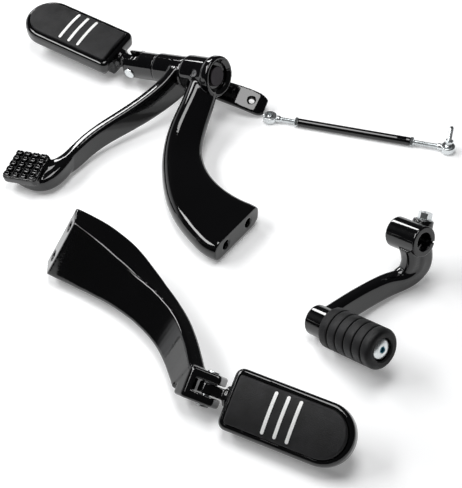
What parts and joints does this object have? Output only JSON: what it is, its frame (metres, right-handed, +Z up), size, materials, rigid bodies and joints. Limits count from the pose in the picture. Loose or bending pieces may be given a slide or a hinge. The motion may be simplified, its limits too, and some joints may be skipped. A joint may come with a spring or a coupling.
{
  "type": "mid-control kit",
  "caption": "Motorbike mid-control kit: brake bracket with pedal and folding peg, brake rod, left bracket with folding peg, and clamp-on shift lever with ribbed rubber.",
  "frame": {"origin": "the middle of the kit's outline on the floor it lies on", "axes": "+Z up from the floor; +Y from the left bracket toward the right one; +X toward the brake rod's far end"},
  "size_m": [0.4736, 0.6396, 0.0785],
  "materials": {
    "black_castings": "gloss",
    "black_rubber": "matt",
    "polished_bars": "polished",
    "zinc_steel": "satin",
    "bronze": "satin",
    "black_tube": "gloss",
    "dark_plug": "satin",
    "plain_steel": "satin"
  },
  "bodies": {
    "kit": {"brake_bracket": "black_castings", "pivot_grub_screw": "plain_steel", "pivot_shaft": "plain_steel", "pivot_plug": "dark_plug", "thrust_washers": "plain_steel", "right_peg_mount": "black_castings", "right_peg_pin": "zinc_steel", "right_pin_clip": "plain_steel", "right_spring_washer": "plain_steel", "rod_tube": "black_tube", "rod_lock_nuts": "zinc_steel", "rod_end_left": "zinc_steel", "rod_end_right": "zinc_steel", "left_bracket": "black_castings", "left_peg_pin": "zinc_steel", "left_pin_clip": "plain_steel", "left_spring_washer": "plain_steel", "shift_lever": "black_castings", "shift_clamp_bolt": "zinc_steel", "shift_peg_rubber": "black_rubber", "shift_peg_screw": "zinc_steel"},
    "pedal": {"brake_pedal": "black_castings", "pedal_bush": "bronze"},
    "right_peg": {"right_peg_body": "black_castings", "right_peg_rubber": "black_rubber", "right_peg_bars": "polished_bars"},
    "left_peg": {"left_peg_body": "black_castings", "left_peg_rubber": "black_rubber", "left_peg_bars": "polished_bars"},
    "eye_ball": {"rod_eye_ball": "zinc_steel"},
    "stud_ball": {"rod_ball_stud": "zinc_steel"}
  },
  "joints": [
    {"name": "brake_pedal_swing", "type": "hinge", "parent": "kit", "child": "pedal", "pos_m": [-0.06212, 0.19943, 0.03942], "axis": [-0.7793, 0.5502, -0.3001], "range_deg": [-12, 0]},
    {"name": "right_peg_fold", "type": "hinge", "parent": "kit", "child": "right_peg", "pos_m": [-0.1049, 0.22963, 0.02295], "axis": [0.5302, 0.8341, 0.1523], "range_deg": [-20.4, 50]},
    {"name": "left_peg_fold", "type": "hinge", "parent": "kit", "child": "left_peg", "pos_m": [-0.02165, -0.23779, 0.02556], "axis": [-0.3581, -0.7119, -0.6041], "range_deg": [0, 75]},
    {"name": "rod_eye_swivel", "type": "hinge", "parent": "kit", "child": "eye_ball", "pos_m": [0.04126, 0.16041, 0.00506], "axis": [0.9668, -0.2555, 0], "range_deg": [-8, 8]},
    {"name": "rod_stud_swivel", "type": "hinge", "parent": "kit", "child": "stud_ball", "pos_m": [0.2293, 0.11073, 0.00506], "axis": [0.9668, -0.2555, 0], "range_deg": [-8, 8]}
  ]
}
